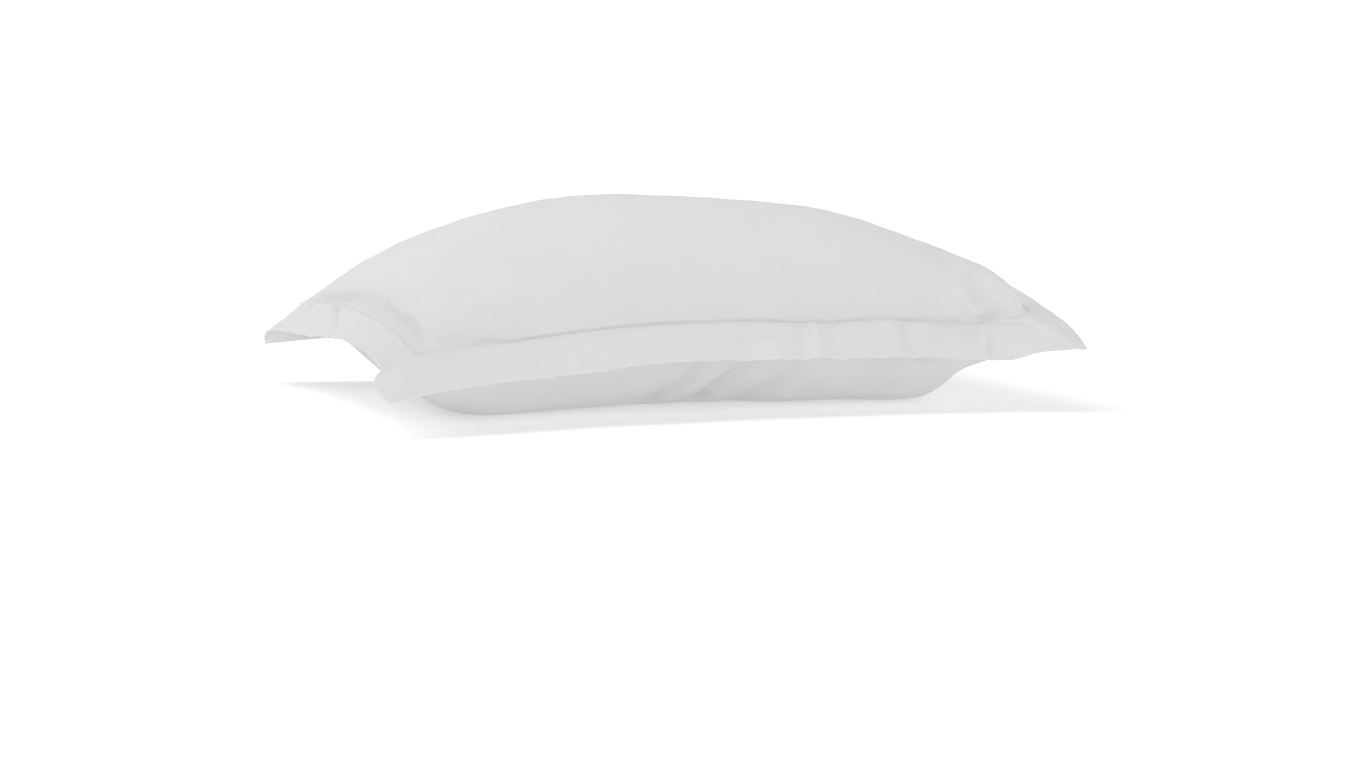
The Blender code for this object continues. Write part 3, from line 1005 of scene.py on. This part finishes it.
class Nodes:
    """A material's nodes, added one after the other."""

    def __init__(self, name):
        self.material = bpy.data.materials.new(name)
        self.material.use_nodes = True
        self.tree = self.material.node_tree
        self.shader = self.tree.nodes["Principled BSDF"]

    def add(self, kind, inputs=(), **settings):
        """A node, its inputs linked or set by name or number."""
        node = self.tree.nodes.new(kind)
        for name, value in settings.items():
            setattr(node, name, value)
        for socket, value in dict(inputs).items():
            if isinstance(value, bpy.types.NodeSocket):
                self.tree.links.new(value, node.inputs[socket])
            else:
                node.inputs[socket].default_value = value
        return node

    def math(self, operation, first, second=0.0):
        """The result of one sum on the two."""
        return self.add("ShaderNodeMath", {0: first, 1: second}, operation=operation).outputs[0]

    def link(self, output, socket):
        """Leads an output to the shader."""
        self.tree.links.new(output, self.shader.inputs[socket])

    def set(self, **values):
        """Sets the shader's own sockets, an underscore standing for a space."""
        for name, value in values.items():
            self.shader.inputs[name.replace("_", " ")].default_value = value


def make_cotton(name, white, creases):
    """White plain-weave cotton: threads, slubs and slight rumples, in the cloth's own metres."""
    n = Nodes(name)
    place = n.add("ShaderNodeUVMap", uv_map="cloth").outputs["UV"]
    split = n.add("ShaderNodeSeparateXYZ", {"Vector": place})
    turn = math.pi / THREAD_PITCH
    warp, weft = (
        n.math("SINE", n.math("MULTIPLY", split.outputs[axis], turn)) for axis in "XY"
    )
    weave = n.math("MULTIPLY", warp, weft)

    def stretched(scale, size, detail):
        """Noise over the cloth, drawn out where the scale is small."""
        mapped = n.add("ShaderNodeMapping", {"Vector": place, "Scale": scale})
        return n.add(
            "ShaderNodeTexNoise",
            {"Vector": mapped.outputs[0], "Scale": size, "Detail": detail, "Roughness": 0.5},
        ).outputs["Fac"]

    slubs_along = stretched((0.04, 1.0, 1.0), 1400.0, 1.0)
    slubs_deep = stretched((1.0, 0.04, 1.0), 1400.0, 1.0)
    slubs = n.math("ADD", slubs_along, slubs_deep)
    rumples = stretched((1.0, 1.0, 1.0), 34.0, 4.0)
    creasing = stretched((*creases[:2], 1.0), 110.0, 3.0)

    normal = {}
    for strength, distance, height in (
        (0.65, 0.0010, rumples),
        (creases[2], 0.0004, creasing),
        (0.80, 0.00016, slubs),
        (0.85, 0.00008, weave),
    ):
        relief = {"Strength": strength, "Distance": distance, "Height": height, **normal}
        normal = {"Normal": n.add("ShaderNodeBump", relief).outputs[0]}
    n.link(normal["Normal"], "Normal")

    patches = stretched((1.0, 1.0, 1.0), 9.0, 3.0)
    shade = n.add(
        "ShaderNodeValToRGB", {"Fac": n.math("ADD", patches, n.math("MULTIPLY", slubs, 0.10))}
    )
    ramp_stops = shade.color_ramp.elements
    ramp_stops[0].position, ramp_stops[1].position = 0.35, 0.85
    for stop, tone in zip(ramp_stops, COTTON_TONES):
        stop.color = (*[white * tone] * 3, 1.0)
    n.link(shade.outputs["Color"], "Base Color")
    n.set(Roughness=COTTON_ROUGHNESS, Sheen_Weight=COTTON_SHEEN, Sheen_Roughness=0.5)
    n.set(Specular_IOR_Level=0.25)
    return n.material


def make_thread():
    """Bright white sewing thread, a little glossier than the cotton."""
    n = Nodes("sewing_thread")
    place = n.add("ShaderNodeTexCoord").outputs["Object"]
    twist = n.add(
        "ShaderNodeTexNoise", {"Vector": place, "Scale": 2600.0, "Detail": 1.0}
    ).outputs["Fac"]
    ply = n.add("ShaderNodeBump", {"Strength": 0.4, "Distance": 0.00008, "Height": twist})
    n.link(ply.outputs[0], "Normal")
    shade = n.add("ShaderNodeValToRGB", {"Fac": twist})
    for stop, white in zip(shade.color_ramp.elements, THREAD_WHITES):
        stop.color = (white, white, white, 1.0)
    n.link(shade.outputs["Color"], "Base Color")
    n.set(Roughness=0.55, Sheen_Weight=0.10)
    return n.material


# ---- the studio

CAMERA_AZIMUTH = -19.0
CAMERA_ELEVATION = 6.3
CAMERA_DISTANCE = 3.5
CAMERA_AIM = Vector((0.0196, -0.0054, 0.018))
CAMERA_LENS = 83.2
SENSOR_WIDTH = 36.0
VIEW_END = 60.0
FLOOR_HALF_WIDTH = 20.0
FLOOR_DROP = 0.0004  # the paper lies just under the cloth
PAPER_WHITE = 0.93
SURROUND_LEFT, SURROUND_RIGHT = 0.815, 2.040  # near the horizon, pure white behind the floor
SURROUND_HIGH = 0.235
BRIGHT_BAND = 0.10, 0.30  # how high up the surround goes over from the one to the other
LEFT_OF = -0.60, -0.35
LIGHT_NEAR, LIGHT_FAR = 0.282, 0.770  # the paper is lit from below, mostly behind the object
LIGHT_FROM, LIGHT_TO = 0.8, 4.0  # between these distances from its middle
LAMP_AIM = Vector((0, 0, 0.1))
Softbox = namedtuple("Softbox", "name place size power")
SOFTBOXES = (
    Softbox("lamp_above", (-0.7, 0.1, 2.8), (1.8, 1.8), 11.8),
    Softbox("lamp_back", (-0.3, 0.6, 2.5), (2.6, 1.8), 14.7),
    Softbox("lamp_left", (-1.7, 0.7, 2.1), (1.8, 1.8), 23.6),
    Softbox("lamp_right", (1.7, 0.3, 2.1), (1.8, 1.8), 6.2),
    Softbox("lamp_front", (0.3, -1.8, 2.2), (1.8, 1.8), 7.4),
    Softbox("lamp_low", (0.3, -2.6, 1.15), (1.4, 1.4), 8.8),
)


def make_camera():
    """The camera, in front of the pillowcase, a little to the left and above."""
    azimuth, elevation = math.radians(CAMERA_AZIMUTH), math.radians(CAMERA_ELEVATION)
    back = Vector(
        (
            math.sin(azimuth) * math.cos(elevation),
            -math.cos(azimuth) * math.cos(elevation),
            math.sin(elevation),
        )
    )
    data = bpy.data.cameras.new("camera")
    data.lens = CAMERA_LENS
    data.sensor_width = SENSOR_WIDTH
    data.clip_end = VIEW_END
    camera = new_object("camera", data)
    camera.location = CAMERA_AIM + back * CAMERA_DISTANCE
    camera.rotation_mode = "QUATERNION"
    camera.rotation_quaternion = (-back).to_track_quat("-Z", "Y")
    bpy.context.scene.camera = camera


def add_softbox(box):
    """A large soft lamp that faces the pillowcase."""
    data = bpy.data.lights.new(box.name, "AREA")
    data.shape = "RECTANGLE"
    data.size, data.size_y = box.size
    data.energy = box.power
    lamp = new_object(box.name, data)
    lamp.location = box.place
    lamp.rotation_mode = "QUATERNION"
    lamp.rotation_quaternion = (LAMP_AIM - lamp.location).to_track_quat("-Z", "Y")


def make_studio():
    """A plain white floor, a white surround and soft lamps all round, strongest at the left."""
    bm = bmesh.new()
    bmesh.ops.create_grid(bm, x_segments=1, y_segments=1, size=FLOOR_HALF_WIDTH)
    bmesh.ops.translate(bm, verts=bm.verts, vec=(0, 0, -FLOOR_DROP))
    floor = object_of("floor", bm)
    paper = Nodes("white_paper")
    paper.set(Base_Color=(*[PAPER_WHITE] * 3, 1.0), Emission_Color=(1.0, 1.0, 1.0, 1.0))
    paper.set(Roughness=0.9, Specular_IOR_Level=0.1)
    place = paper.add("ShaderNodeTexCoord").outputs["Object"]
    away = paper.add("ShaderNodeVectorMath", {0: place}, operation="LENGTH").outputs["Value"]
    span = {"From Min": LIGHT_FROM, "From Max": LIGHT_TO}
    light = {"To Min": LIGHT_NEAR, "To Max": LIGHT_FAR}
    glow = paper.add("ShaderNodeMapRange", {"Value": away, **span, **light})
    paper.link(glow.outputs["Result"], "Emission Strength")
    floor.data.materials.append(paper.material)

    world = bpy.data.worlds.new("white_surround")
    world.use_nodes = True
    nodes, links = world.node_tree.nodes, world.node_tree.links
    towards = nodes.new("ShaderNodeSeparateXYZ")
    links.new(nodes.new("ShaderNodeTexCoord").outputs["Generated"], towards.inputs["Vector"])

    def faded(axis, span, values):
        """Goes from one value to the other over a span of the view's direction."""
        fade = nodes.new("ShaderNodeMapRange")
        for name, value in zip(("From Min", "From Max", "To Min", "To Max"), (*span, *values)):
            fade.inputs[name].default_value = value
        links.new(towards.outputs[axis], fade.inputs["Value"])
        return fade.outputs["Result"]

    light = nodes.new("ShaderNodeMix")
    links.new(faded("Z", BRIGHT_BAND, (0.0, 1.0)), light.inputs["Factor"])
    links.new(faded("X", LEFT_OF, (SURROUND_LEFT, SURROUND_RIGHT)), light.inputs["A"])
    light.inputs["B"].default_value = SURROUND_HIGH
    nodes["Background"].inputs["Color"].default_value = (1.0, 1.0, 1.0, 1.0)
    links.new(light.outputs["Result"], nodes["Background"].inputs["Strength"])
    bpy.context.scene.world = world

    for box in SOFTBOXES:
        add_softbox(box)
    bpy.context.scene.view_settings.view_transform = "Standard"


make_camera()
make_studio()
cotton = make_cotton("white_cotton", COTTON_WHITE, PANEL_CREASES)
# the border's cotton, painted a little lighter than the panels' to stand in for the brighter
# light on it
border_cotton = make_cotton("white_cotton_border_painted_lighter", BORDER_WHITE_PAINTED_LIGHTER, BORDER_CREASES)
thread = make_thread()

pocket_cloth = make_pocket_cloth(cotton)
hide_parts("pocket")

border_middle, border_across = border_grid()
border_cloth = make_border_cloth(border_cotton, border_middle, border_across)
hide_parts("border")
make_topstitching(thread, border_middle, border_across)
